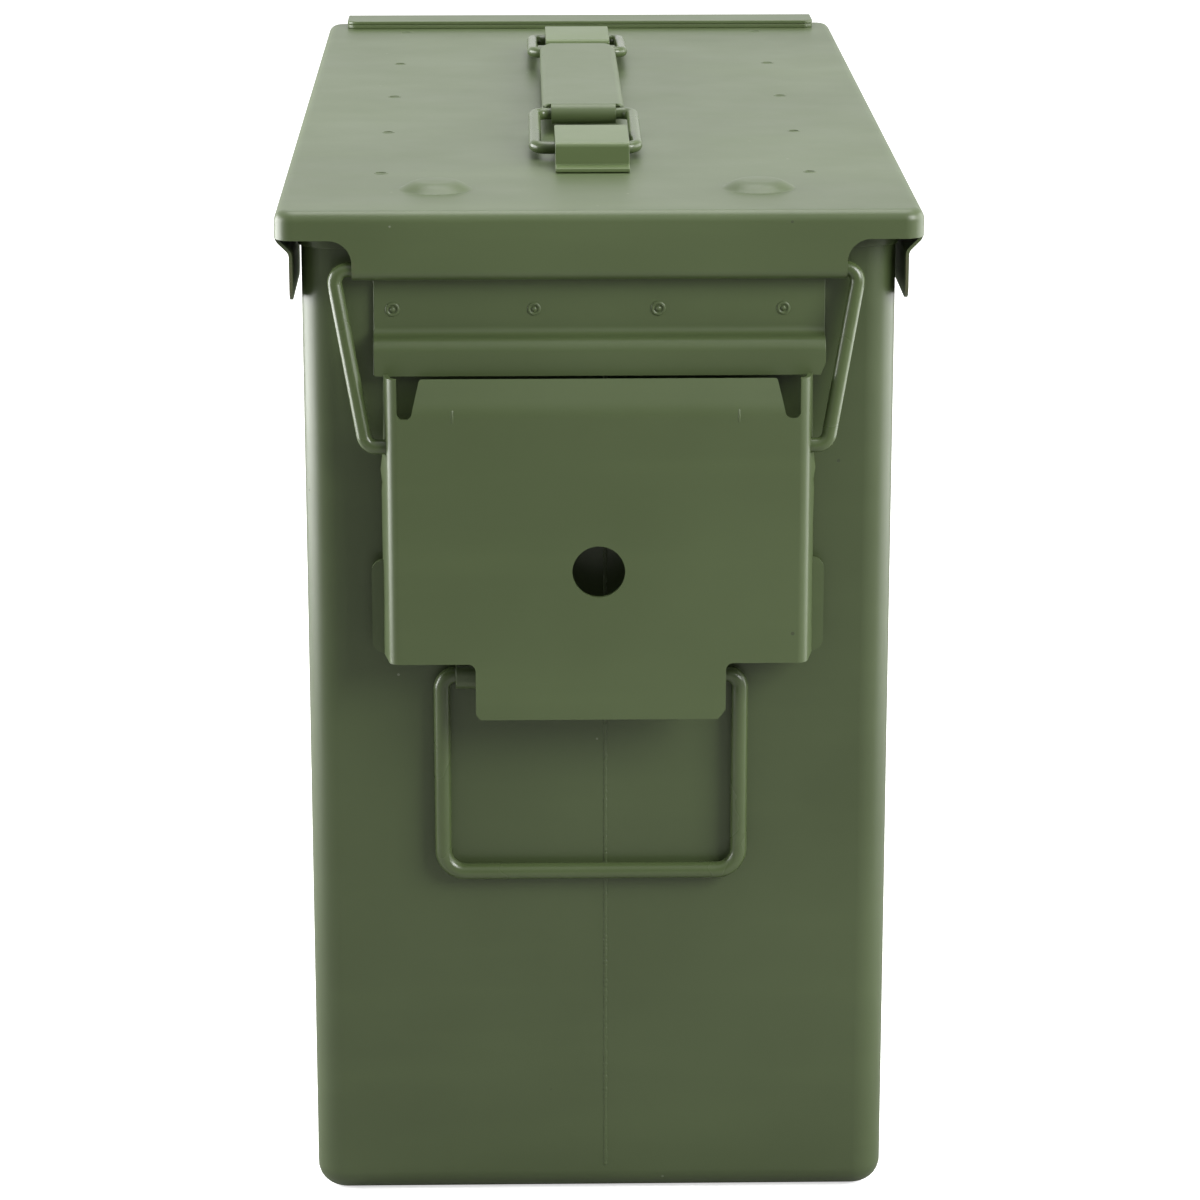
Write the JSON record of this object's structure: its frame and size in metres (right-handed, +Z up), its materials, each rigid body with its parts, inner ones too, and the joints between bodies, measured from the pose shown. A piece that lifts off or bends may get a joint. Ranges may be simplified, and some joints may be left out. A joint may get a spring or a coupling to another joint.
{
  "type": "storage can",
  "caption": "Tall steel storage can with a hinged gasketed lid, lever latch, wire drop handles and a folding carry handle.",
  "frame": {"origin": "centre of the can body's base, on the floor it stands on", "axes": "+Z up, -Y out of the latch end, +Y out of the hinge end, +X to the right as seen from the latch end"},
  "size_m": [0.222, 0.4897, 0.3736],
  "materials": {
    "olive_paint": "satin olive-drab paint with fine dust specks",
    "olive_wire": "satin olive-drab paint, thicker on the bends",
    "gasket_rubber": "matte black rubber",
    "pin_steel": "thinly painted steel"
  },
  "bodies": {
    "body": {"can_shell": "olive_paint", "bottom_pan": "olive_paint", "top_rim": "olive_paint", "latch_catch": "olive_paint", "front_handle_bracket": "olive_paint", "rear_handle_bracket": "olive_paint", "hinge_bracket": "olive_paint", "hinge_pin": "pin_steel"},
    "lid": {"lid_shell": "olive_paint", "lid_hinge_leaf": "olive_paint", "lid_stiffener_left": "olive_paint", "lid_stiffener_right": "olive_paint", "lid_gasket": "gasket_rubber", "front_clip": "olive_paint", "rear_clip": "olive_paint"},
    "bail": {"bail_wire": "olive_wire"},
    "latch": {"latch_lever": "olive_paint"},
    "front_handle": {"front_drop_handle": "olive_wire"},
    "rear_handle": {"rear_drop_handle": "olive_wire"},
    "front_link": {"front_loop": "olive_wire"},
    "grip": {"carry_grip": "olive_paint"},
    "rear_link": {"rear_loop": "olive_wire"}
  },
  "joints": [
    {"name": "lid_hinge", "type": "hinge", "parent": "body", "child": "lid", "pos_m": [0, 0.2395, 0.3436], "axis": [-1, 0, 0], "range_deg": [0, 180]},
    {"name": "bail_swing", "type": "hinge", "parent": "lid", "child": "bail", "pos_m": [0, -0.2313, 0.3422], "axis": [-1, 0, 0], "range_deg": [0, 75]},
    {"name": "latch_throw", "type": "hinge", "parent": "bail", "child": "latch", "pos_m": [0, -0.2391, 0.2819], "axis": [-1, 0, 0], "range_deg": [0, 105]},
    {"name": "front_handle_lift", "type": "hinge", "parent": "body", "child": "front_handle", "pos_m": [0, -0.2295, 0.1974], "axis": [-1, 0, 0], "range_deg": [0, 90]},
    {"name": "rear_handle_lift", "type": "hinge", "parent": "body", "child": "rear_handle", "pos_m": [0, 0.2295, 0.1974], "axis": [1, 0, 0], "range_deg": [0, 170]},
    {"name": "carry_lift", "type": "hinge", "parent": "lid", "child": "front_link", "pos_m": [0, -0.128, 0.36665], "axis": [1, 0, 0], "range_deg": [0, 41]},
    {"name": "grip_level", "type": "hinge", "parent": "front_link", "child": "grip", "pos_m": [0, -0.06909, 0.36985], "axis": [1, 0, 0], "range_deg": [-41, 0]},
    {"name": "rear_link_fold", "type": "hinge", "parent": "grip", "child": "rear_link", "pos_m": [0, 0.09054, 0.36985], "axis": [1, 0, 0], "range_deg": [-41, 0]}
  ],
  "couplings": [
    {"joint": "latch_throw", "follows": "bail_swing", "ratio": 1.4},
    {"joint": "grip_level", "follows": "carry_lift", "ratio": -1},
    {"joint": "rear_link_fold", "follows": "carry_lift", "ratio": -1}
  ]
}
